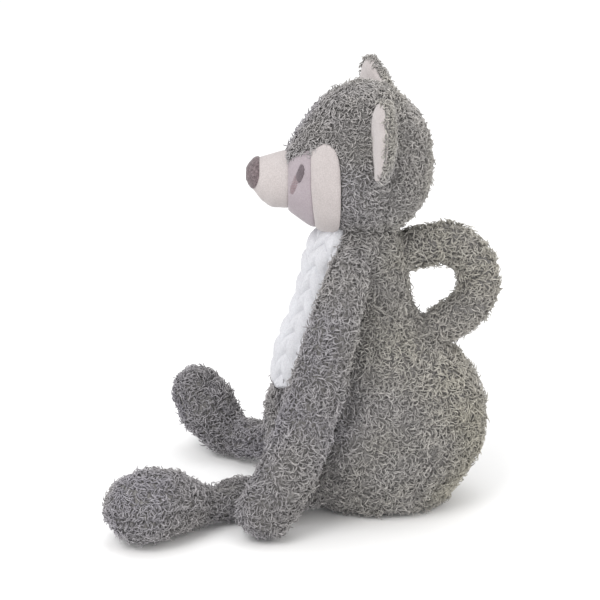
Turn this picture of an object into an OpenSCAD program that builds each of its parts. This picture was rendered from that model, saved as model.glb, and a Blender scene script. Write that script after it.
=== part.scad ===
// Seated long-limbed raccoon plush toy: sewn fabric panels over stuffing.
// Frame: +Z up, the toy faces -Y, +X is the toy's left side.
// Origin: centre of the flat seat underside, on the surface it sits on.

/* [Body] */
// Widest half-width of the torso, side to side
torso_half_w = 46; // [40:1:46]
// Height of the neck seam above the seat
neck_z = 173.6; // [173:0.1:173.6]
// Thickness of the pile fabric of the body panels
pile_t = 2.0; // [1.4:0.1:2.4]
// Half-angle of the knitted belly panel, seen from above
belly_angle = 62; // [45:1:66]

/* [Head] */
// Half-width of the head, side to side
head_half_w = 36; // [32:1:36]
// Thickness of the velour face panels
velour_t = 1.2; // [0.8:0.1:1.6]
// Thickness of one ear, lining and back together
ear_t = 5.0; // [4:0.5:5]

/* [Limbs] */
// Half-thickness of the arm, side to side, at its middle
arm_r = 13; // [11:0.5:13]
// Radius of the leg between hip and ankle
leg_r = 12.2; // [10:0.1:12.4]
// Radius of the curled tail
tail_r = 12.5; // [10:0.5:12.5]

/* [Hidden] */

fur_grey = [0.45, 0.45, 0.44];
fill_white = [0.93, 0.93, 0.91];
knit_white = [0.95, 0.95, 0.95];
velour_cream = [0.90, 0.85, 0.83];
velour_mauve = [0.62, 0.55, 0.56];
velour_taupe = [0.36, 0.31, 0.30];

// ---- helpers ----
function unit(v) = v / norm(v);
function spline(p, i, t) =
  let (n = len(p) - 1, a = p[max(i - 1, 0)], b = p[i], c = p[min(i + 1, n)], d = p[min(i + 2, n)])
  0.5 * (2 * b + (c - a) * t + (2 * a - 5 * b + 4 * c - d) * t * t + (3 * b - a - 3 * c + d) * t * t * t);
// every table row, with sub - 1 smooth rows between neighbours
function smooth(p, sub) =
  concat([for (i = [0 : len(p) - 2], k = [0 : sub - 1]) spline(p, i, k / sub)], [p[len(p) - 1]]);
function flat(g) = [for (r = g) for (q = r) q];
// keeps only triangles with three different corners
function whole(ts) = [for (t = ts) if (t[0] != t[1] && t[1] != t[2] && t[0] != t[2]) t];

// Closed thin piece between grid P (outside) and grid Q (inside); pole_a and
// pole_b say that the first or last row has shrunk to one point.
module slab(P, Q, pole_a = false, pole_b = false) {
  n = len(P); m = len(P[0]); s = n * m;
  function id(i, j) = i * m + (((i == 0 && pole_a) || (i == n - 1 && pole_b)) ? 0 : j);
  quads = concat(
    [for (i = [0 : n - 2], j = [0 : m - 2]) [id(i, j), id(i + 1, j), id(i + 1, j + 1), id(i, j + 1)]],
    [for (i = [0 : n - 2], j = [0 : m - 2]) [s + id(i, j), s + id(i, j + 1), s + id(i + 1, j + 1), s + id(i + 1, j)]],
    [for (i = [0 : n - 2]) [id(i, 0), s + id(i, 0), s + id(i + 1, 0), id(i + 1, 0)]],
    [for (i = [0 : n - 2]) [id(i, m - 1), id(i + 1, m - 1), s + id(i + 1, m - 1), s + id(i, m - 1)]],
    pole_a ? [] : [for (j = [0 : m - 2]) [id(0, j), id(0, j + 1), s + id(0, j + 1), s + id(0, j)]],
    pole_b ? [] : [for (j = [0 : m - 2]) [id(n - 1, j), s + id(n - 1, j), s + id(n - 1, j + 1), id(n - 1, j + 1)]]);
  polyhedron(points = concat(flat(P), flat(Q)),
    faces = whole([for (q = quads, k = [0, 1]) k == 0 ? [q[0], q[1], q[2]] : [q[0], q[2], q[3]]]));
}

// Closed solid through closed rings of points; each end is a point or a flat cap.
module rings_solid(R, pole_a = true, pole_b = true) {
  n = len(R); m = len(R[0]);
  function id(i, j) = i * m + (((i == 0 && pole_a) || (i == n - 1 && pole_b)) ? 0 : j % m);
  quads = [for (i = [0 : n - 2], j = [0 : m - 1]) [id(i, j), id(i + 1, j), id(i + 1, j + 1), id(i, j + 1)]];
  caps = concat(
    pole_a ? [] : [for (j = [1 : m - 2]) [id(0, 0), id(0, j), id(0, j + 1)]],
    pole_b ? [] : [for (j = [1 : m - 2]) [id(n - 1, 0), id(n - 1, j + 1), id(n - 1, j)]]);
  polyhedron(points = flat(R),
    faces = whole(concat([for (q = quads, k = [0, 1]) k == 0 ? [q[0], q[1], q[2]] : [q[0], q[2], q[3]]], caps)));
}
module mirrored(on) { if (on) mirror([1, 0, 0]) children(); else children(); }

// ---- torso: oval rings at heights z; each row is z, front y, back y, half-width ----
torso_k = torso_half_w / 46;
torso_table = [
  [0, -38, 33, 27], [2, -42, 37, 30], [7, -49, 42, 34], [14, -56, 46.5, 38], [24, -63, 53.5, 42.5],
  [34, -68, 58.3, 45], [45, -70, 61.2, 46], [56, -70, 61.2, 45.6], [66, -68.5, 59.5, 44],
  [74, -66.5, 56.5, 42.2], [74.6, -66.45, 56.2, 42.1], [76, -66.3, 55.7, 41.8], [78.5, -66, 54.4, 41.2],
  [82, -65.5, 52.5, 40.4], [90, -64.5, 46.8, 38.6], [98, -63, 38.5, 36.6],
  [106, -61, 30, 34.8], [114, -58.5, 22.5, 33], [125, -55, 17, 30.4], [136, -52, 14.5, 28.4],
  [146, -49, 13, 26.8], [156, -46, 12, 25.4], [166, -41.5, 10, 23], [neck_z, -36.5, 6.5, 18.5]];
function torso_pt(r, a, inset) =
  let (c = (r[1] + r[2]) / 2, d = (r[2] - r[1]) / 2 - inset, w = r[3] * torso_k - inset)
  [w * sin(a), c - d * cos(a), r[0]];
belly_low = 74;
function belly_edge(z) = z <= belly_low ? 0 : z >= 114 ? belly_angle :
  belly_angle * sqrt(1 - pow((114 - z) / (114 - belly_low), 2));
side_n = 12;
function side_grid(inset) = [for (r = torso_table) let (a0 = belly_edge(r[0]))
  [for (j = [0 : side_n]) torso_pt(r, a0 + (180 - a0) * j / side_n, inset)]];
belly_rows = [for (r = torso_table) if (r[0] >= belly_low) r];
function belly_grid(inset) = [for (r = belly_rows) let (a0 = belly_edge(r[0]))
  [for (j = [0 : 8]) torso_pt(r, -a0 + 2 * a0 * j / 8, inset)]];

module torso_side(right) color(fur_grey) mirrored(right)
  slab(side_grid(0), side_grid(pile_t));
module torso_left_panel() torso_side(false);
module torso_right_panel() torso_side(true);
module belly_panel() color(knit_white)
  slab(belly_grid(0), belly_grid(pile_t), pole_a = true);
// sewn-in oval of the underside: the flat face the toy sits on
module seat_panel() color(fur_grey) linear_extrude(height = pile_t)
  polygon([for (j = [0 : 23]) let (p = torso_pt(torso_table[0], j * 15, pile_t + 0.2)) [p[0], p[1]]]);
// rows of the stuffed core between two heights
bag_top = 34;
function core(z0, z1, inset) = [for (r = torso_table) if (r[0] >= z0 && r[0] <= z1)
  [for (j = [0 : 19]) torso_pt(r, j * 18, inset)]];
module torso_stuffing() color(fill_white)
  translate([0, 0, 0]) rings_solid(core(bag_top, neck_z, pile_t + 0.4), false, false);
// pellet-filled liner that weights the seat
module bean_bag() color([0.80, 0.78, 0.72])
  rings_solid(core(2, bag_top, pile_t + 0.4), false, false);

// ---- head: oval rings along y; each row is y, centre z, half-height, half-width ----
head_k = head_half_w / 36;
head_floor = 174;
head_table = smooth([
  [-56, 198, 17.5, 17.5], [-52, 201, 23, 21.5], [-43.5, 204.6, 32.5, 27.5], [-34, 208, 39.5, 31.8],
  [-25.5, 210.6, 43.3, 34.4], [-14, 211.8, 45, 36], [-2, 210.6, 43.8, 36], [8, 209, 38, 33.2],
  [17, 209.3, 28.2, 26.2], [22, 209.5, 17.5, 16.5], [25, 209.5, 0.01, 0.01]], 2);
head_len = 81;
head_seg = 12;
function head_pt(r, a, off) =
  let (y = off < 0 ? -56 + (r[0] + 56) * (head_len + off) / head_len : r[0],
       h = max(r[2] + off, 0), w = max(r[3] * head_k + off, 0))
  [w * sin(a), y, max(r[1] + h * cos(a), head_floor - min(off, 0))];
function head_grid(off, i0, i1, j0, j1) =
  [for (i = [i0 : i1]) [for (j = [j0 : j1]) head_pt(head_table[i], j * 180 / head_seg, off)]];
last = len(head_table) - 1;
module head_side(right) color(fur_grey) mirrored(right)
  slab(head_grid(0, 0, last, 0, head_seg), head_grid(-pile_t, 0, last, 0, head_seg), pole_b = true);
module head_left_panel() head_side(false);
module head_right_panel() head_side(true);
module head_stuffing() color(fill_white)
  rings_solid([for (i = [0 : last]) [for (j = [0 : 2 * head_seg - 1])
    head_pt(head_table[i], j * 180 / head_seg, -pile_t - 0.3)]], false, true);
// muzzle and nose: rings along y; each row is y, centre z, radius
function nose_rings(t) = [for (r = t) [for (j = [0 : 23]) [r[2] * sin(j * 15), r[0], r[1] + r[2] * cos(j * 15)]]];
module muzzle() color(velour_cream)
  rings_solid(nose_rings([[-72, 199.3, 12.2], [-70, 198.8, 13.8], [-67, 198.3, 15.1],
    [-62, 198, 16.5], [-56, 198, 17.5]]), false, false);
module nose_cap() color(velour_taupe)
  rings_solid(nose_rings([[-80, 202.4, 0], [-79.4, 202.3, 3], [-78, 202, 5.8], [-75.6, 201.2, 8.6],
    [-72, 200.4, 10.6]]), true, false);
// velour panels of the face, sewn over the head panels
module eye_patch(right) color(velour_mauve) mirrored(right)
  slab(head_grid(velour_t, 0, 4, 4, 10), head_grid(0, 0, 4, 4, 10));
module cheek_band(right) color(velour_cream) mirrored(right)
  slab(head_grid(velour_t, 4, 8, 4, 10), head_grid(0, 4, 8, 4, 10));
module left_eye_patch() eye_patch(false);
module right_eye_patch() eye_patch(true);
module left_cheek_band() cheek_band(false);
module right_cheek_band() cheek_band(true);
// embroidered eye: a slim raised oval of stitches standing on the eye patch
module eye(right) color([0.28, 0.25, 0.25]) mirrored(right)
  translate([23.9, -53.2, 210]) rotate([18, 0, -52]) scale([0.8, 2.6, 5]) sphere(r = 1, $fn = 16);
module left_eye() eye(false);
module right_eye() eye(true);

// ---- ears: a flat rounded leaf each, standing on the side of the head ----
ear_y = -3;
ear_outline = concat([for (a = [88 : -8 : 32]) [38.1 * sin(a), 211 + 47.5 * cos(a)]],
  [for (q = smooth([[26, 257], [34, 262], [43, 262.5], [50.5, 258], [55, 248], [56, 236], [52.5, 224],
    [46, 215.5]], 2)) q]);
module ear_leaf(right, y0, t) mirrored(right)
  translate([0, y0 + t, 0]) rotate([90, 0, 0]) linear_extrude(height = t) polygon(ear_outline);
module left_ear_back() color(fur_grey) ear_leaf(false, ear_y - ear_t / 2 + 1.6, ear_t - 1.6);
module right_ear_back() color(fur_grey) ear_leaf(true, ear_y - ear_t / 2 + 1.6, ear_t - 1.6);
module left_ear_lining() color(velour_cream) ear_leaf(false, ear_y - ear_t / 2, 1.6);
module right_ear_lining() color(velour_cream) ear_leaf(true, ear_y - ear_t / 2, 1.6);

// ---- limbs: a path of rings; each row is x, y, z, radius along side, radius across ----
// "side" is the direction the outer or top panel faces.
function rings_of(table, sub, side, inset) =
  let (p = smooth(table, sub), n = len(p) - 1,
       t = [for (i = [0 : n]) let (u = p[min(i + 1, n)] - p[max(i - 1, 0)]) unit([u[0], u[1], u[2]])],
       body = [for (i = [0 : n]) [[p[i][0], p[i][1], p[i][2]], t[i], p[i][3] - inset, p[i][4] - inset]],
       r0 = (body[0][2] + body[0][3]) / 2, r1 = (body[n][2] + body[n][3]) / 2)
  concat(
    [for (a = [0, 25, 50, 72]) [body[0][0] - t[0] * r0 * cos(a), t[0], body[0][2] * sin(a), body[0][3] * sin(a)]],
    body,
    [for (a = [72, 50, 25, 0]) [body[n][0] + t[n] * r1 * cos(a), t[n], body[n][2] * sin(a), body[n][3] * sin(a)]]);
function ring_pt(r, side, a) =
  let (u = unit(side - r[1] * (r[1] * side)), v = cross(r[1], u)) r[0] + u * r[2] * cos(a) + v * r[3] * sin(a);
limb_seg = 9;
function limb_grid(table, sub, side, inset, a0) = [for (r = rings_of(table, sub, side, inset))
  [for (j = [0 : limb_seg]) ring_pt(r, side, a0 + j * 180 / limb_seg)]];
module limb_panel(table, sub, side, a0) color(fur_grey)
  slab(limb_grid(table, sub, side, 0, a0), limb_grid(table, sub, side, pile_t, a0), true, true);
module limb_core(table, sub, side) color(fill_white)
  rings_solid([for (r = rings_of(table, sub, side, pile_t + 0.3))
    [for (j = [0 : 2 * limb_seg - 1]) ring_pt(r, side, j * 180 / limb_seg)]]);

arm_side = [1, 0, 0];
left_arm = [[38.5, -24, 150, 11, 12], [45, -31, 124, arm_r - 1, 14.5], [49.5, -39, 93, arm_r, 16.5],
  [53.5, -48.5, 61, arm_r, 17], [56.5, -62, 30, arm_r + 0.3, 17.4], [57.7, -69.5, 16.5, arm_r + 0.3, 16.6]];
right_arm = [[-38.5, -24, 150, 11, 12], [-46, -21, 124, arm_r - 1, 14.5], [-52.5, -20, 93, arm_r, 16.5],
  [-59, -20, 61, arm_r, 17], [-64.5, -21.5, 30, arm_r, 16], [-66.5, -22.5, 14.6, arm_r, 14]];
module left_arm_outer_panel() limb_panel(left_arm, 2, arm_side, -90);
module left_arm_inner_panel() limb_panel(left_arm, 2, arm_side, 90);
module left_arm_stuffing() limb_core(left_arm, 2, arm_side);
module right_arm_outer_panel() limb_panel(right_arm, 2, arm_side, 90);
module right_arm_inner_panel() limb_panel(right_arm, 2, arm_side, -90);
module right_arm_stuffing() limb_core(right_arm, 2, arm_side);

up = [0, 0, 1];
left_leg = [[26.5, -65, 13, 12.4, 12.4], [29.5, -84, 12.8, leg_r, leg_r], [37, -103, 12.8, 11.8, 12],
  [44.5, -115.5, 16.5, 15.5, 17], [53, -128.5, 20.6, 19.8, 22], [60, -140.5, 20.8, 19.6, 22]];
right_leg = [[-36.5, -58.5, 18, 12.4, 12.4], [-48, -73, 16.5, leg_r, leg_r], [-59, -88.5, 14.2, 12.4, 12.6],
  [-66, -98.5, 18.2, 15.4, 16.4], [-71.5, -106.5, 28, 17.5, 19.5], [-75.5, -113, 36.5, 16, 17.5]];
module left_leg_top_panel() limb_panel(left_leg, 2, up, -90);
module left_leg_sole_panel() limb_panel(left_leg, 2, up, 90);
module left_leg_stuffing() limb_core(left_leg, 2, up);
right_up = [0.35, 0.45, 1];
module right_leg_top_panel() limb_panel(right_leg, 2, right_up, -90);
module right_leg_sole_panel() limb_panel(right_leg, 2, right_up, 90);
module right_leg_stuffing() limb_core(right_leg, 2, right_up);

// ---- tail: a curled tube whose two ends are sewn to the back ----
tail = [[0, 25, 158.5, tail_r, tail_r], [0, 34, 160.5, tail_r, tail_r], [0, 44, 157, tail_r, tail_r],
  [0, 51.5, 148, tail_r, tail_r], [0, 54, 136, tail_r, tail_r], [0, 50, 124, tail_r, tail_r],
  [0, 40.8, 114.8, tail_r, tail_r]];
module tail_left_panel() limb_panel(tail, 2, arm_side, -90);
module tail_right_panel() limb_panel(tail, 2, arm_side, 90);
module tail_stuffing() limb_core(tail, 2, arm_side);

torso_left_panel();
torso_right_panel();
belly_panel();
seat_panel();
torso_stuffing();
bean_bag();
head_left_panel();
head_right_panel();
head_stuffing();
muzzle();
nose_cap();
left_eye_patch();
right_eye_patch();
left_cheek_band();
right_cheek_band();
left_eye();
right_eye();
left_ear_back();
left_ear_lining();
right_ear_back();
right_ear_lining();
left_arm_outer_panel();
left_arm_inner_panel();
left_arm_stuffing();
right_arm_outer_panel();
right_arm_inner_panel();
right_arm_stuffing();
left_leg_top_panel();
left_leg_sole_panel();
left_leg_stuffing();
right_leg_top_panel();
right_leg_sole_panel();
right_leg_stuffing();
tail_left_panel();
tail_right_panel();
tail_stuffing();
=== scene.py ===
import math
import bpy
import numpy as np
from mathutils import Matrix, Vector


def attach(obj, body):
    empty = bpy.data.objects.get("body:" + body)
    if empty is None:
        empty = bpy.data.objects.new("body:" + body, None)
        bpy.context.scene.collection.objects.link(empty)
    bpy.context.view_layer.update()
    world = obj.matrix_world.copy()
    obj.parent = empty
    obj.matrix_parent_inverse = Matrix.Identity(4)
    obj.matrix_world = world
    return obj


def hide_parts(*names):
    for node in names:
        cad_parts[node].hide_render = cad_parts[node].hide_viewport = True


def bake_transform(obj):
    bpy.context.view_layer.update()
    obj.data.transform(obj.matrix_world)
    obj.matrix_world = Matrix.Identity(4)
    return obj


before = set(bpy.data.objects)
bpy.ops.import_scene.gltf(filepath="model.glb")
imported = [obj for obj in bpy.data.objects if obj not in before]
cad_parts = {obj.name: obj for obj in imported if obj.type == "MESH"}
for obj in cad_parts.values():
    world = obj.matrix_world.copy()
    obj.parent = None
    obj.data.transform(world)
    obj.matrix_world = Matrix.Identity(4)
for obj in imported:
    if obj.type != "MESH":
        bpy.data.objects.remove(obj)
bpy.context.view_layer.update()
scene = bpy.context.scene
MM = 0.001

# ---------------------------------------------------------------- camera, at the photograph's angle
EL, AZ, DIST, TARGET = 20.0, 90.0, 1.300, (0.0, -0.0493, 0.1253)
cam_data = bpy.data.cameras.new("camera")
cam = bpy.data.objects.new("camera", cam_data)
scene.collection.objects.link(cam)
e, a = math.radians(EL), math.radians(AZ)
away = Vector((math.sin(a) * math.cos(e), -math.cos(a) * math.cos(e), math.sin(e)))
cam.location = Vector(TARGET) + away * DIST
cam.rotation_euler = (-away).to_track_quat("-Z", "Y").to_euler()
cam_data.sensor_width = 36.0
cam_data.lens = 36.0 * DIST / 0.348
scene.camera = cam

# ---------------------------------------------------------------- small maths
def catmull(rows, sub):
    """A smooth table through the rows, with sub steps between neighbours."""
    t = np.asarray(rows, float)
    out, n = [], len(t) - 1
    for i in range(n):
        p, q, r, s = t[max(i - 1, 0)], t[i], t[i + 1], t[min(i + 2, n)]
        for k in range(sub):
            u = k / sub
            out.append(0.5 * (2 * q + (r - p) * u + (2 * p - 5 * q + 4 * r - s) * u * u + (3 * q - p - 3 * r + s) * u ** 3))
    out.append(t[n])
    return np.array(out)


def rows_at(rows, x):
    """The table rows interpolated at x, by their first column."""
    t = np.asarray(rows, float)
    return np.stack([np.interp(x, t[:, 0], t[:, k]) for k in range(t.shape[1])], -1)


def smooth_noise(p, size, seed):
    """Soft value noise in -1..1 at points p (mm), with features of about size mm."""
    q = np.asarray(p, float) / size
    i = np.floor(q).astype(np.int64)
    f = q - i
    f = f * f * (3 - 2 * f)

    def h(a, b, c):
        v = (a * 374761393 + b * 668265263 + c * 2147483647 + seed * 974634777) & 0xFFFFFFFF
        v = ((v ^ (v >> 13)) * 1274126177) & 0xFFFFFFFF
        return ((v ^ (v >> 16)) & 0xFFFF) / 32767.5 - 1

    out = 0
    for dx in (0, 1):
        for dy in (0, 1):
            for dz in (0, 1):
                w = (f[..., 0] if dx else 1 - f[..., 0]) * (f[..., 1] if dy else 1 - f[..., 1]) * (f[..., 2] if dz else 1 - f[..., 2])
                out = out + w * h(i[..., 0] + dx, i[..., 1] + dy, i[..., 2] + dz)
    return out


def unit(v):
    return v / np.maximum(np.linalg.norm(v, axis=-1, keepdims=True), 1e-9)


# ---------------------------------------------------------------- mesh building
def build(name, verts, tris=None, quads=None, attrs=None, body=None, mats=(), smooth=True, face_mat=None):
    me = bpy.data.meshes.new(name)
    v = np.asarray(verts, np.float64) * MM
    me.vertices.add(len(v))
    me.vertices.foreach_set("co", v.astype(np.float32).ravel())
    t = np.zeros((0, 3), np.int32) if tris is None else np.asarray(tris, np.int32)
    q = np.zeros((0, 4), np.int32) if quads is None else np.asarray(quads, np.int32)
    loops = np.concatenate([t.ravel(), q.ravel()]).astype(np.int32)
    me.loops.add(len(loops))
    me.loops.foreach_set("vertex_index", loops)
    starts = np.concatenate([np.arange(len(t)) * 3, len(t) * 3 + np.arange(len(q)) * 4]).astype(np.int32)
    me.polygons.add(len(starts))
    me.polygons.foreach_set("loop_start", starts)
    me.update(calc_edges=True)
    me.validate()
    if smooth:
        me.polygons.foreach_set("use_smooth", np.ones(len(me.polygons), bool))
    for key, value in (attrs or {}).items():
        me.attributes.new(key, "FLOAT", "POINT").data.foreach_set("value", np.asarray(value, np.float32).ravel())
    for m in mats:
        me.materials.append(m)
    if face_mat is not None:
        me.polygons.foreach_set("material_index", np.asarray(face_mat, np.int32))
    ob = bpy.data.objects.new(name, me)
    scene.collection.objects.link(ob)
    if body:
        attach(ob, body)
    return ob


def grid_quads(n, m, wrap=False, base=0, flip=False):
    i, j = np.meshgrid(np.arange(n - 1), np.arange(m if wrap else m - 1), indexing="ij")
    k = (j + 1) % m
    q = np.stack([i * m + j, (i + 1) * m + j, (i + 1) * m + k, i * m + k], -1).reshape(-1, 4) + base
    return q[:, ::-1] if flip else q


def loft(rings):
    """A closed skin through closed rings (n, m, 3), with a fan at each end. Returns verts, tris, quads facing out."""
    n, m = rings.shape[:2]
    v = np.concatenate([rings.reshape(-1, 3), rings[0].mean(0)[None], rings[-1].mean(0)[None]])
    q = grid_quads(n, m, wrap=True)
    j = np.arange(m)
    k = (j + 1) % m
    t = np.concatenate([np.stack([np.full(m, n * m), j, k], -1), np.stack([np.full(m, n * m + 1), (n - 1) * m + k, (n - 1) * m + j], -1)])
    # make the faces look outwards
    c = rings.reshape(-1, 3)[q].mean(1)
    nor = np.cross(v[q[:, 1]] - v[q[:, 0]], v[q[:, 3]] - v[q[:, 0]])
    mid = rings.mean(1)[q[:, 0] // m]
    if (nor * (c - mid)).sum() < 0:
        q, t = q[:, ::-1], t[:, ::-1]
    return v, t, q


def slab(outer, inner):
    """A closed thin piece between two grids of the same size. Returns verts, quads."""
    n, m = outer.shape[:2]
    s = n * m
    v = np.concatenate([outer.reshape(-1, 3), inner.reshape(-1, 3)])
    q = [grid_quads(n, m), grid_quads(n, m, base=s, flip=True)]
    i, j = np.arange(n - 1), np.arange(m - 1)
    q.append(np.stack([i * m, s + i * m, s + (i + 1) * m, (i + 1) * m], -1))
    q.append(np.stack([i * m + m - 1, (i + 1) * m + m - 1, s + (i + 1) * m + m - 1, s + i * m + m - 1], -1))
    q.append(np.stack([j, j + 1, s + j + 1, s + j], -1))
    b = (n - 1) * m
    q.append(np.stack([b + j, s + b + j, s + b + j + 1, b + j + 1], -1))
    q = np.concatenate(q)
    nor = np.cross(outer[1:, :-1] - outer[:-1, :-1], outer[:-1, 1:] - outer[:-1, :-1])
    if (nor * (outer - inner)[:-1, :-1]).sum() < 0:
        q = q[:, ::-1]
    return v, q


# ---------------------------------------------------------------- materials
def material(name):
    m = bpy.data.materials.new(name)
    m.use_nodes = True
    nt = m.node_tree
    nt.nodes.clear()
    out = nt.nodes.new("ShaderNodeOutputMaterial")
    bs = nt.nodes.new("ShaderNodeBsdfPrincipled")
    nt.links.new(bs.outputs[0], out.inputs[0])
    return m, nt, bs


def noise(nt, scale, detail=2.0, rough=0.5, kind="object"):
    tc = nt.nodes.new("ShaderNodeTexCoord")
    n = nt.nodes.new("ShaderNodeTexNoise")
    n.inputs["Scale"].default_value = scale
    n.inputs["Detail"].default_value = detail
    n.inputs["Roughness"].default_value = rough
    nt.links.new(tc.outputs["Object"], n.inputs["Vector"])
    return n.outputs["Fac"]


def ramp(nt, fac, stops):
    r = nt.nodes.new("ShaderNodeValToRGB")
    el = r.color_ramp.elements
    while len(el) < len(stops):
        el.new(0.5)
    for k, (p, c) in zip(el, stops):
        k.position, k.color = p, (*c, 1)
    nt.links.new(fac, r.inputs["Fac"])
    return r.outputs["Color"]


def mix(nt, fac, a, b, mode="MIX"):
    x = nt.nodes.new("ShaderNodeMix")
    x.data_type, x.blend_type = "RGBA", mode
    for sock, val in ((x.inputs[0], fac), (x.inputs[6], a), (x.inputs[7], b)):
        if isinstance(val, (int, float)):
            sock.default_value = val
        elif isinstance(val, tuple):
            sock.default_value = (*val, 1)
        else:
            nt.links.new(val, sock)
    return x.outputs[2]


def attr(nt, name):
    x = nt.nodes.new("ShaderNodeAttribute")
    x.attribute_name = name
    return x.outputs["Fac"]


def maths(nt, op, a, b=0.0, clamp=False):
    x = nt.nodes.new("ShaderNodeMath")
    x.operation, x.use_clamp = op, clamp
    for sock, val in ((x.inputs[0], a), (x.inputs[1], b)):
        if isinstance(val, (int, float)):
            sock.default_value = val
        else:
            nt.links.new(val, sock)
    return x.outputs[0]


def bump(nt, bs, height, strength, dist):
    b = nt.nodes.new("ShaderNodeBump")
    b.inputs["Strength"].default_value = strength
    b.inputs["Distance"].default_value = dist
    nt.links.new(height, b.inputs["Height"])
    nt.links.new(b.outputs[0], bs.inputs["Normal"])


def set_finish(bs, rough, sheen=0.0, sheen_rough=0.5, spec=0.2, tint=(1, 1, 1)):
    bs.inputs["Roughness"].default_value = rough
    bs.inputs["Specular IOR Level"].default_value = spec
    bs.inputs["Sheen Weight"].default_value = sheen
    bs.inputs["Sheen Roughness"].default_value = sheen_rough
    bs.inputs["Sheen Tint"].default_value = (*tint, 1)


def pile_material():
    """Curly pile: painted shade darkening each lock at its root, pale at the tip, each lock its own tone with painted
    shade on the lower tufts, random warm and cool drifts over the toy, and painted light making it darker and cooler
    towards the face and feet.
    """
    m, nt, bs = material("curly_pile")
    tip, tone = attr(nt, "tip"), attr(nt, "tone")
    # painted shade: each lock is dark at its root, down in the pile where shade falls, and pale towards its tip
    base = ramp(nt, tip, [(0.0, (0.125, 0.122, 0.119)), (0.3, (0.315, 0.309, 0.300)), (1.0, (0.575, 0.565, 0.545))])
    drift = noise(nt, 22.0, 1.0)
    hue = ramp(nt, drift, [(0.36, (0.985, 0.975, 1.015)), (0.64, (1.015, 1.0, 0.965))])
    c = mix(nt, 1.0, base, hue, "MULTIPLY")
    # painted light: the pile is painted lighter and warmer towards the back and darker and cooler towards the face and
    # feet, in place of warm and cool light falling on it
    tc = nt.nodes.new("ShaderNodeTexCoord")
    sep = nt.nodes.new("ShaderNodeSeparateXYZ")
    nt.links.new(tc.outputs["Object"], sep.inputs[0])
    along = maths(nt, "MULTIPLY_ADD", sep.outputs["Y"], 9.0, True)
    along.node.inputs[2].default_value = 0.62
    c = mix(nt, 1.0, c, ramp(nt, along, [(0.05, (0.825, 0.818, 0.885)), (0.38, (0.89, 0.882, 0.92)), (0.62, (0.965, 0.958, 0.945)), (1.0, (1.052, 1.036, 0.963))]), "MULTIPLY")
    # the tone carries each lock's random tone and the painted shade of the lower tufts
    shade = ramp(nt, tone, [(0.0, (0.66, 0.66, 0.665)), (0.5, (1.0, 1.0, 1.0)), (1.0, (1.22, 1.215, 1.20))])
    c = mix(nt, 1.0, c, shade, "MULTIPLY")
    nt.links.new(c, bs.inputs["Base Color"])
    set_finish(bs, 0.85, 0.25, 0.45, 0.15, (0.9, 0.88, 0.85))
    bump(nt, bs, noise(nt, 2600.0, 2.0), 0.25, 0.0002)
    return m


def backing_material():
    """The knitted ground under the pile, seen only in the gaps, painted dark as the shade in those gaps."""
    m, nt, bs = material("pile_ground")
    c = ramp(nt, noise(nt, 900.0, 3.0), [(0.3, (0.15, 0.145, 0.142)), (0.7, (0.30, 0.29, 0.282))])
    nt.links.new(c, bs.inputs["Base Color"])
    set_finish(bs, 0.95, 0.1, 0.5, 0.1)
    bump(nt, bs, noise(nt, 700.0, 3.0), 0.8, 0.0008)
    return m


def velour_material(name, lo, hi, fine=1500.0, depth=0.0002, sheen=0.35):
    """Short clipped pile: fine mottling, a soft nap and a faint painted sheen of broad patches a little lighter or
    darker.
    """
    m, nt, bs = material(name)
    mott = ramp(nt, noise(nt, fine, 3.0, 0.65), [(0.32, lo), (0.68, hi)])
    # painted sheen: broad soft patches a little lighter or darker, as the nap catches the light
    nap = ramp(nt, noise(nt, 90.0, 2.0), [(0.3, (0.955, 0.95, 0.95)), (0.7, (1.02, 1.02, 1.02))])
    c = mix(nt, 1.0, mott, nap, "MULTIPLY")
    nt.links.new(c, bs.inputs["Base Color"])
    rough = ramp(nt, noise(nt, 400.0, 2.0), [(0.3, (0.78, 0.78, 0.78)), (0.7, (0.95, 0.95, 0.95))])
    nt.links.new(rough, bs.inputs["Roughness"])
    bs.inputs["Specular IOR Level"].default_value = 0.15
    bs.inputs["Sheen Weight"].default_value = sheen
    bs.inputs["Sheen Roughness"].default_value = 0.4
    bump(nt, bs, noise(nt, fine * 0.8, 4.0, 0.7), 0.55, depth)
    return m


PILE = pile_material()
GROUND = backing_material()
CREAM = velour_material("cream_velour", (0.415, 0.378, 0.372), (0.54, 0.498, 0.492))
MAUVE = velour_material("mauve_velour", (0.32, 0.277, 0.300), (0.41, 0.362, 0.388))
TAUPE = velour_material("taupe_velour", (0.075, 0.058, 0.062), (0.235, 0.190, 0.198), 900.0, 0.00045)
KNIT = velour_material("white_plush", (0.555, 0.56, 0.59), (0.665, 0.67, 0.70), 1300.0, 0.0003, 0.2)
THREAD = velour_material("embroidery_thread", (0.125, 0.103, 0.115), (0.215, 0.182, 0.20), 2200.0, 0.00015, 0.2)
THREAD2 = velour_material("embroidery_thread_soft", (0.265, 0.20, 0.215), (0.375, 0.30, 0.32), 2200.0, 0.00015, 0.2)
SEAM = velour_material("seam_thread", (0.55, 0.50, 0.49), (0.70, 0.65, 0.64), 2200.0, 0.0001, 0.1)

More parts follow.
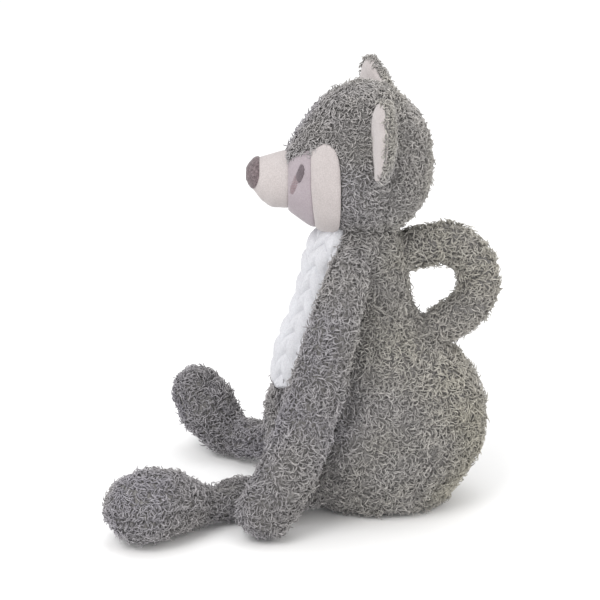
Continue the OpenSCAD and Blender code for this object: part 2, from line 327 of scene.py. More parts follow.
# ---------------------------------------------------------------- the toy's forms, in mm, as in the CAD
TORSO = [[0, -38, 33, 27], [2, -42, 37, 30], [7, -49, 42, 34], [14, -56, 46.5, 38], [24, -63, 53.5, 42.5],
         [34, -68, 58.3, 45], [45, -70, 61.2, 46], [56, -70, 61.2, 45.6], [66, -68.5, 59.5, 44], [74, -66.5, 56.5, 42.2],
         [82, -65.5, 52.5, 40.4], [90, -64.5, 46.8, 38.6], [98, -63, 38.5, 36.6], [106, -60.4, 30, 34.8],
         [114, -57, 22.5, 33], [125, -53, 17, 30.4], [136, -50.2, 14.5, 28.4], [146, -48, 13, 26.8],
         [156, -46, 12, 25.4], [166, -41.5, 10, 23], [173.6, -36.5, 6.5, 18.5], [180, -30, 0, 13]]
HEAD = [[-56, 198, 17.5, 17.5], [-52, 201, 23, 21.5], [-43.5, 204.6, 32.5, 27.5], [-34, 208, 39.5, 31.8],
        [-25.5, 210.6, 43.3, 34.4], [-14, 211.8, 45, 36], [-2, 210.6, 43.8, 36], [8, 209, 38, 33.2],
        [17, 209.3, 28.2, 26.2], [22, 209.5, 17.5, 16.5], [25, 209.5, 0.01, 0.01]]
LEFT_ARM = [[22, -19, 159, 6.5, 8.5], [31, -21.5, 154.5, 9, 11], [38.5, -24.5, 145.5, 10.8, 12.8], [45, -31, 124, 12, 14.8],
            [49.5, -39, 93, 13, 16.8], [53.5, -48.5, 61, 13, 17.2], [56.5, -62, 30, 13.3, 17.6], [57.7, -69.5, 16.5, 13.3, 16.8]]
RIGHT_ARM = [[-22, -19, 159, 6.5, 8.5], [-31, -21.5, 154.5, 9, 11], [-38.5, -24, 145.5, 10.8, 12.8], [-46, -21, 124, 12, 14.8],
             [-52.5, -20, 93, 13, 16.8], [-59, -20, 61, 13, 17.2], [-64.5, -21.5, 30, 13, 16], [-66.5, -22.5, 14.6, 13, 14]]
LEFT_LEG = [[22, -34, 22, 12, 12], [24, -50, 15.5, 12.4, 12.6], [26.5, -65, 13, 12.4, 12.4], [29.5, -84, 12.8, 12.2, 12.2],
            [37, -103, 12.6, 10.8, 11.2], [44.5, -115.5, 16.5, 15.5, 17], [53, -128.5, 20.6, 19.8, 22], [60, -140.5, 20.8, 19.6, 22]]
RIGHT_LEG = [[-22, -34, 24, 12, 12], [-29, -46, 19.5, 12.4, 12.6], [-36.5, -58.5, 18, 12.4, 12.4], [-48, -73, 16.5, 12.2, 12.2],
             [-59, -88.5, 14.2, 12.4, 12.6], [-66, -98.5, 18.2, 15.4, 16.4], [-71.5, -106.5, 28, 17.5, 19.5], [-75.5, -113, 36.5, 16, 17.5]]
TAIL = [[0, 6, 153, 12.5, 12.5], [0, 15, 157, 12.5, 12.5], [0, 25, 159, 12.5, 12.5], [0, 34, 160.5, 12.5, 12.5],
        [0, 44, 157, 12.5, 12.5], [0, 51.5, 148, 12.5, 12.5], [0, 54, 136, 12.5, 12.5], [0, 50, 124, 12.5, 12.5],
        [0, 41.5, 115.5, 12.5, 12.5], [0, 33, 109, 12.5, 12.5], [0, 24, 103, 12.5, 12.5]]


def limb_rings(table, sub, side, inset, m, caps=(True, True)):
    p = catmull(table, sub)
    n = len(p)
    c = p[:, :3]
    t = unit(np.gradient(c, axis=0))
    ra, rb = p[:, 3] - inset, p[:, 4] - inset
    pieces_c, pieces_t, pieces_a, pieces_b = [c], [t], [ra], [rb]
    ang = np.radians([6, 20, 34, 48, 62, 76])
    if caps[0]:
        r0 = (ra[0] + rb[0]) / 2
        pieces_c.insert(0, c[0] - t[0] * r0 * np.cos(ang)[:, None])
        pieces_t.insert(0, np.repeat(t[:1], 6, 0)); pieces_a.insert(0, ra[0] * np.sin(ang)); pieces_b.insert(0, rb[0] * np.sin(ang))
    if caps[1]:
        r1 = (ra[-1] + rb[-1]) / 2
        back = ang[::-1]
        pieces_c.append(c[-1] + t[-1] * r1 * np.cos(back)[:, None])
        pieces_t.append(np.repeat(t[-1:], 6, 0)); pieces_a.append(ra[-1] * np.sin(back)); pieces_b.append(rb[-1] * np.sin(back))
    c, t, ra, rb = (np.concatenate(x) for x in (pieces_c, pieces_t, pieces_a, pieces_b))
    s = np.asarray(side, float)
    u = unit(s - t * (t @ s)[:, None])
    v = np.cross(t, u)
    f = np.linspace(0, 2 * np.pi, m, endpoint=False)
    return c[:, None] + u[:, None] * (ra[:, None] * np.cos(f))[..., None] + v[:, None] * (rb[:, None] * np.sin(f))[..., None]


def torso_surface(z, ang, inset=0.0):
    r = rows_at(catmull(TORSO, 6), z)
    c, d, w = (r[..., 1] + r[..., 2]) / 2, (r[..., 2] - r[..., 1]) / 2 - inset, r[..., 3] - inset
    return np.stack([w * np.sin(ang), c - d * np.cos(ang), z + 0 * ang], -1)


def head_surface(y, az, off=0.0):
    r = rows_at(catmull(HEAD, 8), y)
    return np.stack([(r[..., 3] + off) * np.sin(az), r[..., 0] + 0 * az, r[..., 1] + (r[..., 2] + off) * np.cos(az)], -1)


def lumps(rings, amp, size, seed):
    """Uneven filling: moves each point along its ring's radius by soft noise."""
    mid = rings.mean(1, keepdims=True)
    return rings + unit(rings - mid) * (smooth_noise(rings, size, seed) * amp)[..., None]


def inside_torso(p, inset):
    r = rows_at(catmull(TORSO, 3), p[:, 2])
    c, d, w = (r[:, 1] + r[:, 2]) / 2, (r[:, 2] - r[:, 1]) / 2 - inset, r[:, 3] - inset
    return (p[:, 2] > 1) & (p[:, 2] < 179) & ((p[:, 0] / w) ** 2 + ((p[:, 1] - c) / d) ** 2 < 1)


def inside_limb(p, table, inset):
    t = catmull(table, 3)
    hit = np.zeros(len(p), bool)
    for row in t:
        hit |= np.linalg.norm(p - row[:3], axis=1) < min(row[3], row[4]) - inset
    return hit


# ---------------------------------------------------------------- curly pile: small hooked locks of real mesh
SIDES, RINGS = 3, 5


def scatter(v, tris, weight, pitch, seed):
    """Even but irregular points on a triangle mesh: at most one in each small cell. Returns points and normals."""
    rng = np.random.default_rng(seed)
    p0, p1, p2 = v[tris[:, 0]], v[tris[:, 1]], v[tris[:, 2]]
    cr = np.cross(p1 - p0, p2 - p0)
    area = np.linalg.norm(cr, axis=1) / 2
    n = int(area.sum() / pitch ** 2 * 5)
    pick = rng.choice(len(tris), n, p=area / area.sum())
    b = rng.random((n, 2))
    over = b.sum(1) > 1
    b[over] = 1 - b[over]
    w0, w1, w2 = 1 - b.sum(1), b[:, 0], b[:, 1]
    t = tris[pick]
    p = v[t[:, 0]] * w0[:, None] + v[t[:, 1]] * w1[:, None] + v[t[:, 2]] * w2[:, None]
    nrm = unit(cr[pick])
    keep = weight[t[:, 0]] * w0 + weight[t[:, 1]] * w1 + weight[t[:, 2]] * w2 > 0.5
    p, nrm = p[keep], nrm[keep]
    cell = np.floor(p / pitch + 1000).astype(np.int64)
    key = (cell[:, 0] * 4001 + cell[:, 1]) * 4001 + cell[:, 2]
    _, first = np.unique(key, return_index=True)
    return p[first], nrm[first]


def locks(p, nrm, seed, length=6.2, thick=0.40, flow=None, flow_amount=0.35, floor=True):
    """Verts, tris, tip and tone for one curled, tapering lock at each point: it rises, leans over and curls back in."""
    rng = np.random.default_rng(seed)
    n = len(p)
    ref = np.where(np.abs(nrm[:, 2:3]) < 0.9, np.array([[0, 0, 1.0]]), np.array([[1.0, 0, 0]]))
    a = unit(np.cross(ref, nrm))
    b = np.cross(nrm, a)
    ang = rng.random(n) * 2 * np.pi
    swirl = smooth_noise(p, 8.0, seed + 5) * 3.8
    ang = np.where(rng.random(n) < 0.78, swirl + rng.normal(0, 0.40, n), ang)
    d = a * np.cos(ang)[:, None] + b * np.sin(ang)[:, None]
    if flow is not None:
        g = np.asarray(flow, float)
        d = unit(d + unit(g - nrm * (nrm @ g)[:, None]) * flow_amount)
    side = np.cross(nrm, d)
    ln = length * rng.uniform(0.75, 1.25, n)
    lean0 = np.radians(rng.uniform(0, 34, n))
    bend = np.radians(rng.uniform(95, 165, n))
    stray = rng.random(n) < 0.05
    bend[stray] *= 0.5
    turn = np.radians(rng.uniform(30, 150, n)) * rng.choice([-1, 1], n)
    pos = p - nrm * 0.4
    path, dirs = [pos], []
    for k in range(RINGS):
        u = (k + 0.5) / RINGS
        lean = lean0 + bend * u
        tw = turn * u ** 1.3
        dk = d * np.cos(tw)[:, None] + side * np.sin(tw)[:, None]
        dirn = nrm * np.cos(lean)[:, None] + dk * np.sin(lean)[:, None]
        dirs.append(dirn)
        pos = pos + dirn * (ln / RINGS)[:, None]
        path.append(pos)
    path = np.stack(path, 1)
    # tufts: neighbouring locks stand a little higher or lower together
    tuft = 0.7 * smooth_noise(p, 5.5, seed + 13) + 0.5 * smooth_noise(p, 2.8, seed + 14)
    path[:, 1:] += nrm[:, None] * (1.0 * tuft)[:, None, None]
    dirs.append(dirs[-1])
    rad = thick * rng.uniform(0.8, 1.2, n)
    prof = np.array([0.8, 1.0, 1.0, 0.9, 0.68])
    verts, tip = [], []
    for k in range(RINGS):
        t = unit(dirs[k] + dirs[max(k - 1, 0)])
        u = unit(np.cross(t, side + 0.01))
        w = np.cross(t, u)
        for s in range(SIDES):
            f = 2 * np.pi * s / SIDES
            verts.append(path[:, k] + (u * math.cos(f) + w * math.sin(f)) * (rad * prof[k])[:, None])
            tip.append(np.full(n, k / RINGS))
    verts.append(path[:, RINGS]); tip.append(np.full(n, 0.9))
    per = RINGS * SIDES + 1
    v = np.stack(verts, 1).reshape(-1, 3)
    tip = np.stack(tip, 1).reshape(-1)
    # tone: each lock's own random tone and a slow drift, plus painted shade that darkens the locks of the lower tufts
    # and lightens the higher ones
    tone = np.repeat(np.clip(rng.normal(0.5, 0.15, n) + 0.30 * tuft + 0.14 * smooth_noise(p, 14.0, seed + 9), 0, 1), per)
    f = []
    for k in range(RINGS - 1):
        for s in range(SIDES):
            s2 = (s + 1) % SIDES
            f += [[k * SIDES + s, k * SIDES + s2, (k + 1) * SIDES + s2], [k * SIDES + s, (k + 1) * SIDES + s2, (k + 1) * SIDES + s]]
    for s in range(SIDES):
        f.append([(RINGS - 1) * SIDES + s, (RINGS - 1) * SIDES + (s + 1) % SIDES, RINGS * SIDES])
    f.append([2, 1, 0])
    tris = (np.array(f)[None] + (np.arange(n) * per)[:, None, None]).reshape(-1, 3)
    if floor:
        v[:, 2] = np.maximum(v[:, 2], 0.25)
    return v, tris, tip, tone


PITCH = 1.45


def pile(name, v, tris, weight, body, seed, pitch=None, **kw):
    p, nrm = scatter(v, tris, weight, pitch or PITCH, seed)
    lv, lt, tip, tone = locks(p, nrm, seed + 1, **kw)
    ob = build(name, lv, tris=lt, attrs={"tip": tip, "tone": tone}, body=body, mats=[PILE])
    print("PILE", name, len(p), len(lt))
    return ob


def as_tris(t, q):
    q = np.asarray(q)
    return np.concatenate([np.asarray(t).reshape(-1, 3), q[:, [0, 1, 2]], q[:, [0, 2, 3]]])


# ---------------------------------------------------------------- torso
zs = np.concatenate([[0.6, 1.2], np.linspace(2.2, 24, 12), np.linspace(26, 178, 66)])
th = np.radians(np.linspace(0, 360, 120, endpoint=False))
Z, A = np.meshgrid(zs, th, indexing="ij")
ground = torso_surface(Z, A, 2.5)
ground = lumps(ground, 1.2, 24.0, 3)
ground = lumps(ground, 0.7, 8.5, 4)
# the back seam and the front seam under the belly panel are drawn in by their thread
for centre, z_lo, z_top, deep in ((math.pi, 4, 400, 2.6), (0.0, 4, 76, 2.2), (2.25, 22, 96, 1.5), (-2.25, 22, 96, 1.5)):
    wander = 0.05 * np.sin(Z / 13.0 + centre)
    gap = np.abs((A - centre - wander + math.pi) % (2 * math.pi) - math.pi) * 45
    pull = deep * np.exp(-(gap / 2.2) ** 2) * np.clip((z_top - Z) / 8, 0, 1) * np.clip((Z - z_lo) / 8, 0, 1)
    ground -= unit(ground - ground.mean(1, keepdims=True)) * pull[..., None]
BELLY_LOW, BELLY_ANG = 74.0, math.radians(62)


def belly_edge(z):
    s = np.sqrt(np.clip(1 - ((114 - z) / (114 - BELLY_LOW)) ** 2, 0, 1))
    return np.where(z <= BELLY_LOW, 0.0, np.where(z >= 114, BELLY_ANG, BELLY_ANG * s))


tv, tt, tq = loft(ground)
torso = build("torso_ground", tv, tt, tq, body="torso", mats=[GROUND])
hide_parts("torso_stuffing", "bean_bag", "seat_panel")


def neck_twist(ob):
    """Lets the piece go from its body and bakes its placement into its mesh."""
    ob.parent = None
    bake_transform(ob)


ttri = as_tris(tt, tq)
tz = tv[:, 2]
tang = np.abs((np.arctan2(tv[:, 0], -(tv[:, 1] - np.interp(tz, np.array(TORSO)[:, 0], (np.array(TORSO)[:, 1] + np.array(TORSO)[:, 2]) / 2)))))
edge = belly_edge(tz - 2.0)
off_belly = (tang > edge - 0.055) | (tz < BELLY_LOW + 1.5)
base_w = (off_belly & (tz > 2.5) & (tz < 173)).astype(float)
for side, key in ((1, "left"), (-1, "right")):
    for lo, hi, part in ((-5, 78, "lower"), (78, 400, "upper")):
        w = base_w * ((tv[:, 0] * side >= -0.01) & (tz >= lo) & (tz < hi))
        ob = pile(f"torso_{key}_{part}_pile", tv, ttri, w, "torso", 100 + (side > 0) * 10 + (lo > 0) * 3, pitch=1.475 if part == "lower" else None, flow=(0, 0, -1))
        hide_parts(f"torso_{key}_panel")
        if part == "upper":
            neck_twist(ob)
neck_twist(torso)

# ---------------------------------------------------------------- belly panel: white plush with raised plaited rows
bz = np.concatenate([BELLY_LOW + 1.2 + np.linspace(0, 1, 40) ** 1.6 * 30, np.linspace(105.5, 176, 150)])
bu = np.linspace(-1, 1, 151)
BZ, BU = np.meshgrid(bz, bu, indexing="ij")
BA = BU * np.maximum(belly_edge(BZ) + 0.03, 0.05)
flat_pts = torso_surface(BZ, BA, 0.0)
seg = np.linalg.norm(np.diff(flat_pts, axis=1), axis=2)
arc = np.concatenate([np.zeros((len(bz), 1)), np.cumsum(seg, 1)], 1)
arc -= arc[:, [75]]
half_arc = np.abs(arc[:, [-1]])
COLW, CPITCH = 17.0, 13.2
col = np.round(arc / COLW)
u = (arc - col * COLW) / (COLW / 2)
phase = BZ / CPITCH + np.abs(u) * 0.55 + col * 0.5
fr = phase - np.floor(phase)
leaf = np.clip(1 - np.abs(2 * fr - 1) ** 2.3, 0, 1) ** 0.6
ridge = leaf * np.sqrt(np.clip(1 - np.abs(u) ** 3.0, 0, 1)) * (1 - 0.30 * np.exp(-(u / 0.10) ** 2))
height = -0.4 + 2.9 * ridge + 0.10 * np.sin(phase * 2 * np.pi * 5)
rim = np.minimum(half_arc - np.abs(arc), (BZ - BELLY_LOW))
height = height * np.clip(rim / 4, 0, 1) - 1.2 * np.exp(-np.clip(rim, 0, 99) / 1.0) + 0.12 * smooth_noise(flat_pts, 1.6, 4)
out_dir = unit(np.stack([np.sin(BA), -np.cos(BA), 0 * BA + 0.1], -1))
bo = flat_pts + out_dir * (height - 1.0)[..., None]
bi = flat_pts - out_dir * 2.6
bv, bq = slab(bo, bi)
belly = build("belly_plaited_panel", bv, quads=bq, body="torso", mats=[KNIT])
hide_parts("belly_panel")
neck_twist(belly)

# ---------------------------------------------------------------- head
hy = np.concatenate([np.linspace(-55.5, 18, 64), 18 + 8.0 * np.sin(np.radians(np.linspace(6, 88, 16)))])
ha = np.radians(np.linspace(0, 360, 120, endpoint=False))
HY, HA = np.meshgrid(hy, ha, indexing="ij")
hground = head_surface(HY, HA, -2.4)
hground = lumps(hground, 0.8, 22.0, 8)
hground = lumps(hground, 0.6, 8.0, 9)
gap = np.abs((HA + math.pi) % (2 * math.pi) - math.pi) * 34
away_az = np.minimum(HA, 2 * math.pi - HA)
side_seam = 1.7 * np.exp(-((HY - 1.5 - 3.0 * np.sin(away_az * 2)) / 2.0) ** 2) * np.clip((away_az - 1.25) / 0.2, 0, 1)
hground -= unit(hground - hground.mean(1, keepdims=True)) * (1.6 * np.exp(-(gap / 2.2) ** 2) + side_seam)[..., None]
hv, ht, hq = loft(hground)
head = build("head_ground", hv, ht, hq, body="head", mats=[GROUND])
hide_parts("head_stuffing")
AZ_TOP = np.array([[-56.5, 36], [-52, 43], [-48, 51], [-44.6, 57], [-40, 57.5], [-36.3, 58.5], [-33, 61.5], [-30.9, 66], [-28.5, 73],
                   [-27.2, 84], [-26.6, 97], [-26.5, 180.5], [40, 181]])
az_full = np.degrees(np.concatenate([np.minimum(HA, 2 * math.pi - HA).ravel(), [0, 0]]))
y_full = np.concatenate([HY.ravel(), [-56, 27]])
fur_head = az_full < np.interp(y_full, AZ_TOP[:, 0], AZ_TOP[:, 1]) + 2.2
htri = as_tris(ht, hq)
hid = ~(inside_torso(hv, 4.0) & (hv[:, 2] < 176))
for side, key in ((1, "left"), (-1, "right")):
    w = (fur_head & hid & (hv[:, 0] * side >= -0.01)).astype(float)
    ob = pile(f"head_{key}_pile", hv, htri, w, "head", 200 + (side > 0) * 10, pitch=1.4, length=5.4, flow=(0, 1, -0.5), floor=False)
    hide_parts(f"head_{key}_panel")


def face_panel(name, y0, y1, az0, n, m, lift, mat, side, node, body="head", soft=1.3, depth=1.0):
    """A velour panel on the head between edges y0(az) and y1(az), from az0 at its top to the chin; its rim is rolled in."""
    V, U = np.meshgrid(np.linspace(0, 1, n), np.linspace(0, 1, m), indexing="ij")
    top = az0(U)
    azd = top + V * (180.6 - top)
    yy = y0(azd) + U * (y1(azd) - y0(azd))
    azr = np.radians(azd)
    s0 = head_surface(yy, azr, 0.0)
    du = np.linalg.norm(np.gradient(s0, axis=1), axis=2)
    dv = np.linalg.norm(np.gradient(s0, axis=0), axis=2)
    lu = np.cumsum(du, 1); lv = np.cumsum(dv, 0)
    dist = np.minimum(np.minimum(lu - lu[:, :1], lu[:, -1:] - lu), np.minimum(lv - lv[:1], lv[-1:] - lv + 0.8))
    h = lift - depth * np.exp(-dist / soft) + 0.10 * smooth_noise(s0, 5.0, 21) + 0.04 * smooth_noise(s0, 1.2, 22)
    cen = np.stack([0 * yy, yy, rows_at(catmull(HEAD, 8), yy)[..., 1]], -1)
    out = unit(s0 - cen)
    o, i = s0 + out * h[..., None], s0 - out * 2.6
    if side < 0:
        o, i = o * [-1, 1, 1], i * [-1, 1, 1]
    v, q = slab(o, i)
    ob = build(name, v, quads=q, body=body, mats=[mat])
    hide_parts(node)
    return ob


def y_seam(az):
    return np.interp(az, [55, 80, 95, 113, 139, 165, 180], [-43.4, -43.3, -43.2, -42.4, -41.2, -40.5, -40.2])


def y_back(az):
    return np.interp(az, [57, 60, 62, 66, 71, 77, 86, 101, 124, 140, 166, 180],
                     [-37.5, -34.6, -33.0, -31.0, -29.2, -27.9, -27.0, -26.6, -26.6, -26.9, -28.3, -28.8])


for side, key in ((1, "left"), (-1, "right")):
    face_panel(f"{key}_eye_patch_velour", lambda z: -56.2 + 0 * z, y_seam, lambda uu: 36.5 + 21 * uu, 70, 34, 0.35, MAUVE, side, f"{key}_eye_patch")
    face_panel(f"{key}_cheek_velour", y_seam, y_back, lambda uu: 57.5 + 1.0 * uu, 90, 40, 0.9, CREAM, side, f"{key}_cheek_band", depth=1.5)

# muzzle: rings along y; each row is y, centre z, radius
MUZZLE = [[-53.5, 199.0, 15.6], [-55.2, 198.9, 16.3], [-56.6, 198.7, 16.9], [-60, 198.4, 16.5], [-65.5, 197.9, 15.5],
          [-70, 198.7, 13.4], [-72, 199.3, 12.2], [-75, 200.7, 9.6], [-76.8, 201.2, 7.4], [-78.4, 201.5, 5.2], [-79.5, 201.8, 2.8]]
mt = catmull(MUZZLE, 6)[::-1]
ma = np.radians(np.linspace(0, 360, 96, endpoint=False))
mr = np.stack([np.stack([r[2] * np.sin(ma), r[0] + 0 * ma, r[1] + r[2] * np.cos(ma)], -1) for r in mt])
mr = mr + unit(mr - mr.mean(1, keepdims=True)) * (0.14 * smooth_noise(mr, 5.0, 31) + 0.04 * smooth_noise(mr, 1.1, 32) - 0.35)[..., None]
# the seam under the chin draws in
gap = np.abs(ma - math.pi) * 15
mr -= unit(mr - mr.mean(1, keepdims=True)) * (0.5 * np.exp(-(gap / 0.9) ** 2))[None, :, None]
mv, mtri, mq = loft(mr)
muzzle = build("muzzle_velour", mv, mtri, mq, body="head", mats=[CREAM])
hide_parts("muzzle")

# nose cap: covers the front and top of the muzzle's end, its lower edge runs further forward
na = np.radians(np.linspace(0, 360, 97))
mm = catmull(MUZZLE, 6)[::-1]
up = (1 + np.cos(na)) / 2
yb = -77.0 + 4.9 * np.clip(up * 1.5, 0, 1) ** 0.8
NV, NA_ = np.meshgrid(np.linspace(0, 1, 26), na, indexing="ij")
ny = -79.75 + (yb[None] + 79.75) * NV ** 1.15
nr = rows_at(mm, ny)
rim_d = (yb[None] - ny)
extra = 0.75 - 0.95 * np.exp(-rim_d / 0.7)
nrad = np.where(NV < 1e-6, 0.02, nr[..., 2] + extra)
nc = nr[..., 1]
no = np.stack([nrad * np.sin(NA_), ny - 0.5 * np.clip(1 - rim_d / 3, 0, 1) * 0 - 0.35, nc + nrad * np.cos(NA_)], -1)
no += 0.06 * smooth_noise(no, 1.0, 41)[..., None]
ni = np.stack([np.maximum(nrad - 1.2, 0.01) * np.sin(NA_), ny + 0.9, nc + np.maximum(nrad - 1.2, 0.01) * np.cos(NA_)], -1)
nvv, nq = slab(no, ni)
nose = build("nose_velour", nvv, quads=nq, body="head", mats=[TAUPE])
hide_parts("nose_cap")


def tubes(paths, radii, m=6):
    """Closed tubes through point lists. Returns verts, tris, quads."""
    V, T, Q, base = [], [], [], 0
    f = np.linspace(0, 2 * np.pi, m, endpoint=False)
    for p, r in zip(paths, radii):
        p = np.asarray(p, float)
        t = unit(np.gradient(p, axis=0))
        ref = np.array([0.13, 0.37, 0.92])
        a1 = unit(np.cross(t, ref)); a2 = np.cross(t, a1)
        r = np.broadcast_to(np.asarray(r, float), (len(p),))
        rings = p[:, None] + a1[:, None] * (r[:, None] * np.cos(f))[..., None] + a2[:, None] * (r[:, None] * np.sin(f))[..., None]
        v, t3, q4 = loft(rings)
        V.append(v); T.append(t3 + base); Q.append(q4 + base); base += len(v)
    return np.concatenate(V), np.concatenate(T), np.concatenate(Q)


# eyes: satin stitches laid side by side in a slanted drop, with a softer row running down beside the muzzle
def eye_paths(side):
    rng = np.random.default_rng(50 + (side > 0))
    dark, soft, rd, rs = [], [], [], []
    for k in range(30):
        s = k / 29
        az = 67.5 + 17.5 * s
        mid = -48.2 - 1.9 * s
        half = 2.05 * math.sin(math.pi * min(max(0.06 + 0.9 * s, 0), 1)) ** 0.75
        yy = np.linspace(mid - half, mid + half, 7) + rng.normal(0, 0.12)
        zz = np.radians(az + rng.normal(0, 0.3) + np.linspace(-1.6, 1.6, 7))
        lift = 0.45 + 0.5 * np.sin(np.linspace(0.0, np.pi, 7)) ** 0.6
        p = head_surface(yy, zz, 0.0)
        cen = np.stack([0 * yy, yy, rows_at(catmull(HEAD, 8), yy)[..., 1]], -1)
        p = p + unit(p - cen) * lift[:, None]
        dark.append(p * [side, 1, 1]); rd.append(0.27)
    for k in range(26):
        s = k / 25
        az = 77 + 23 * s
        mid = -51.2 - 2.9 * s
        half = 1.75 * math.sin(math.pi * (0.12 + 0.8 * s)) ** 0.7
        yy = np.linspace(mid - half, mid + half, 6) + rng.normal(0, 0.1)
        zz = np.radians(az + rng.normal(0, 0.3) + np.linspace(-1.5, 1.5, 6))
        lift = 0.25 + 0.35 * np.sin(np.linspace(0.0, np.pi, 6)) ** 0.6
        p = head_surface(np.maximum(yy, -55.7), zz, 0.0)
        cen = np.stack([0 * yy, yy, rows_at(catmull(HEAD, 8), yy)[..., 1]], -1)
        p = p + unit(p - cen) * lift[:, None]
        soft.append(p * [side, 1, 1]); rs.append(0.2)
    return dark, rd, soft, rs


for side, key in ((1, "left"), (-1, "right")):
    dark, rd, soft, rs = eye_paths(side)
    v, t, q = tubes(dark, rd)
    ob = build(f"{key}_eye_stitches", v, t, q, body="head", mats=[THREAD])
    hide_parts(f"{key}_eye")
    v, t, q = tubes(soft, rs)
    ob = build(f"{key}_eye_soft_stitches", v, t, q, body="head", mats=[THREAD2])

# ---------------------------------------------------------------- ears: cupped leaves, pile on the back and rim, velour inside
def ear_forms(side):
    """Grids over the ear: u runs from the root (0) to the rim (1), s along the rim from its low end to its high end."""
    yaw = math.radians(7 if side > 0 else 19)           # both ears face a little to the toy's left, as they happen to lie
    n_u, n_s = 44, 64
    U, S = np.meshgrid(np.sin(np.linspace(0, 1, n_u) * math.pi / 2), np.linspace(0, 1, n_s), indexing="ij")
    azr = np.radians(93 - 60 * S)    # root line on the head
    root = np.stack([26.0 * np.sin(azr), 0 * azr, 210.5 + 35.0 * np.cos(azr)], -1)
    rim_pts = catmull([[36, 0, 208.5], [44.5, 0, 211], [51.5, 0, 219.5], [55.5, 0, 231], [55.3, 0, 244], [51, 0, 254.5],
                       [44, 0, 259], [35, 0, 257.8], [26, 0, 252.5], [19.5, 0, 249]], 12)
    k = np.linspace(0, len(rim_pts) - 1, n_s)
    rim = np.stack([np.interp(k, np.arange(len(rim_pts)), rim_pts[:, c]) for c in range(3)], -1)[None]
    mid = root + (rim - root) * U[..., None]
    ends = np.clip(np.minimum(S * 2.6, (1 - S) * 2.4), 0.0, 1)
    ends = np.sqrt(1 - (1 - ends) ** 2)
    lens = np.sqrt(np.clip(1 - U ** 2.6, 0, 1)) * (0.08 + 0.92 * ends)
    puff = 1 + 0.14 * smooth_noise(mid, 9.0, 71)
    cup = -2.2 * U ** 2 - 3.0 * (1 - S) ** 3 * U
    front = mid + np.stack([0 * U, -2.2 + cup - 0.3 - 6.2 * lens * puff, 0 * U], -1)
    back = mid + np.stack([0 * U, -2.2 + cup + 0.3 + 4.2 * lens * puff, 0 * U], -1)

    def place(g):
        g = g.copy()
        if side > 0:                 # the left ear has sagged a little
            g[..., 2] -= 4.5 * np.clip((g[..., 2] - 215) / 40, 0, 1)
            g[..., 0] += 1.0 * np.clip((g[..., 2] - 215) / 40, 0, 1)
        if side < 0:
            g[..., 0] *= -1
        # turn about the vertical line through the middle of the root
        px, py = 31.0 * side, -3.0
        c, s = math.cos(yaw), math.sin(yaw)
        dx, dy = g[..., 0] - px, g[..., 1] - py
        g[..., 0] = px + dx * c - dy * s
        g[..., 1] = py + dx * s + dy * c
        return g
    return place(front), place(back), U, S


for side, key in ((1, "left"), (-1, "right")):
    front, back, EU, ES = ear_forms(side)
    v, q = slab(back, front)
    ground_ear = build(f"{key}_ear_ground", v, quads=q, mats=[GROUND], body=f"{key}_ear")
    # lining: a velour leaf out to the rim seam, where it tucks in
    fdir = np.zeros_like(front); fdir[..., 1] = -1
    inner = slice(2, EU.shape[1] - 2)
    tuck = np.minimum((1 - EU) * 26, np.minimum(ES, 1 - ES) * 60)
    lf = (front + fdir * (0.45 - 0.7 * np.exp(-tuck / 0.7))[..., None])[:-1, inner]
    lf = lf + 0.05 * smooth_noise(lf, 1.2, 61)[..., None]
    lb = (front - fdir * 0.9)[:-1, inner]
    v, q = slab(lf, lb)
    lining = build(f"{key}_ear_velour", v, quads=q, mats=[CREAM], body=f"{key}_ear")
    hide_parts(f"{key}_ear_lining")
    # pile on the back and round the rim
    bv2 = back.reshape(-1, 3)
    bq2 = grid_quads(*back.shape[:2])
    nor = np.cross(back[1:, :-1] - back[:-1, :-1], back[:-1, 1:] - back[:-1, :-1])
    if (nor * (back - front)[:-1, :-1]).sum() < 0:
        bq2 = bq2[:, ::-1]
    rim_front = front[-7:]
    rq = grid_quads(*rim_front.shape[:2], base=len(bv2), flip=True)
    nor = np.cross(rim_front[1:, :-1] - rim_front[:-1, :-1], rim_front[:-1, 1:] - rim_front[:-1, :-1])
    if (nor * (front - back)[-7:][:-1, :-1]).sum() > 0:
        rq = rq[:, ::-1]
    allv = np.concatenate([bv2, rim_front.reshape(-1, 3)])
    tri = as_tris(np.zeros((0, 3), int), np.concatenate([bq2, rq]))
    w = np.ones(len(allv))
    ob = pile(f"{key}_ear_pile", allv, tri, w, f"{key}_ear", 300 + (side > 0) * 10, pitch=1.35, length=4.3, flow=(0, 0.4, 1), floor=False)
    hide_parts(f"{key}_ear_back")
    for o in (ground_ear, lining, ob):
        o.parent = None
        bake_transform(o)

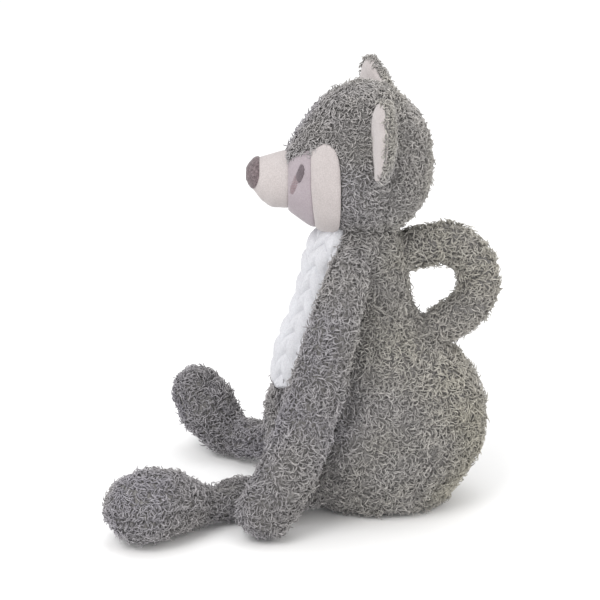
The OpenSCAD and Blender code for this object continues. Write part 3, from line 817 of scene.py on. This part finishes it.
# ---------------------------------------------------------------- limbs and tail
def limb(name, table, side_dir, body, nodes, seed, amp=0.8, caps=(True, True), flow=(0, 0, -1), others=()):
    rings = limb_rings(table, 8, side_dir, 2.3, 56, caps)
    rings = lumps(rings, amp, 17.0, seed)
    rings = lumps(rings, 0.5, 7.5, seed + 1)
    # the two long seams between the panels
    m = rings.shape[1]
    f = np.linspace(0, 2 * np.pi, m, endpoint=False)
    pull = 1.5 * (np.exp(-((f - np.pi / 2) / 0.16) ** 2) + np.exp(-((f - 3 * np.pi / 2) / 0.16) ** 2))
    rings = rings - unit(rings - rings.mean(1, keepdims=True)) * pull[None, :, None]
    rings[..., 2] = np.maximum(rings[..., 2], 1.2)
    v, t, q = loft(rings)
    gr = build(f"{name}_ground", v, t, q, mats=[GROUND], body=body)
    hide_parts(nodes[2])
    tri = as_tris(t, q)
    free = ~(inside_torso(v, 3.2)) & (v[:, 2] > 1.6)
    fi = np.concatenate([np.tile(f, rings.shape[0]), [0, 0]])
    half = np.cos(fi) >= 0
    obs = [gr]
    for which, node, tag in ((half, nodes[0], "a"), (~half, nodes[1], "b")):
        # a triangle counts for the half that its first corner is in, so no lock is lost on the seam
        sel = tri[which[tri[:, 0]]]
        ob = pile(f"{node}_pile", v, sel, free.astype(float), body, seed + (7 if tag == "a" else 8), flow=flow)
        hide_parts(node)
        obs.append(ob)
    for o in obs:
        o.parent = None
        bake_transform(o)
    return obs


limb("left_arm", LEFT_ARM, (1, 0, 0), "left_arm", ["left_arm_outer_panel", "left_arm_inner_panel", "left_arm_stuffing"], 400,
     flow=(0, -0.2, -1))
limb("right_arm", RIGHT_ARM, (1, 0, 0), "right_arm", ["right_arm_inner_panel", "right_arm_outer_panel", "right_arm_stuffing"], 430,
     flow=(0, 0, -1))
limb("left_leg", LEFT_LEG, (0, 0, 1), "left_leg", ["left_leg_top_panel", "left_leg_sole_panel", "left_leg_stuffing"], 460,
     flow=(0, -1, 0))
limb("right_leg", RIGHT_LEG, (0.35, 0.45, 1), "right_leg", ["right_leg_top_panel", "right_leg_sole_panel", "right_leg_stuffing"], 490,
     flow=(0, -1, 0))
limb("tail", TAIL, (1, 0, 0), "tail", ["tail_left_panel", "tail_right_panel", "tail_stuffing"], 520,
     amp=0.5, flow=(0, 0, -0.4))

# ---------------------------------------------------------------- floor and light
def plane(name, size, z):
    me = bpy.data.meshes.new(name)
    s = size / 2
    me.from_pydata([(-s, -s, z), (s, -s, z), (s, s, z), (-s, s, z)], [], [(0, 1, 2, 3)])
    ob = bpy.data.objects.new(name, me)
    scene.collection.objects.link(ob)
    return ob


floor = plane("floor", 12.0, -0.0006)
fm, fnt, fbs = material("floor_paper")
fnt.links.new(ramp(fnt, noise(fnt, 3.0, 2.0), [(0.3, (0.94, 0.94, 0.94)), (0.7, (0.96, 0.96, 0.96))]), fbs.inputs["Base Color"])
set_finish(fbs, 0.9, 0.0, 0.5, 0.1)
floor.data.materials.append(fm)

world = bpy.data.worlds.new("world")
scene.world = world
world.use_nodes = True
bg = world.node_tree.nodes["Background"]
bg.inputs[0].default_value = (1.0, 1.0, 1.0, 1)
bg.inputs[1].default_value = 0.95


def area(name, loc, target, size, power, colour):
    li = bpy.data.lights.new(name, "AREA")
    li.shape, li.size, li.energy, li.color = "DISK", size, power, colour
    ob = bpy.data.objects.new(name, li)
    ob.location = loc
    ob.rotation_euler = (Vector(target) - Vector(loc)).to_track_quat("-Z", "Y").to_euler()
    scene.collection.objects.link(ob)


area("key", (1.0, -0.7, 1.5), (0, 0, 0.12), 0.9, 13, (1.0, 0.99, 0.98))
area("fill", (0.9, 1.2, 0.9), (0, 0, 0.12), 1.2, 5.5, (1.0, 0.97, 0.92))
area("top", (-0.3, 0.0, 1.8), (0, 0, 0.12), 1.4, 6, (0.97, 0.98, 1.0))
scene.view_settings.view_transform = "Standard"
scene.view_settings.look = "None"
scene.view_settings.exposure = 0.0
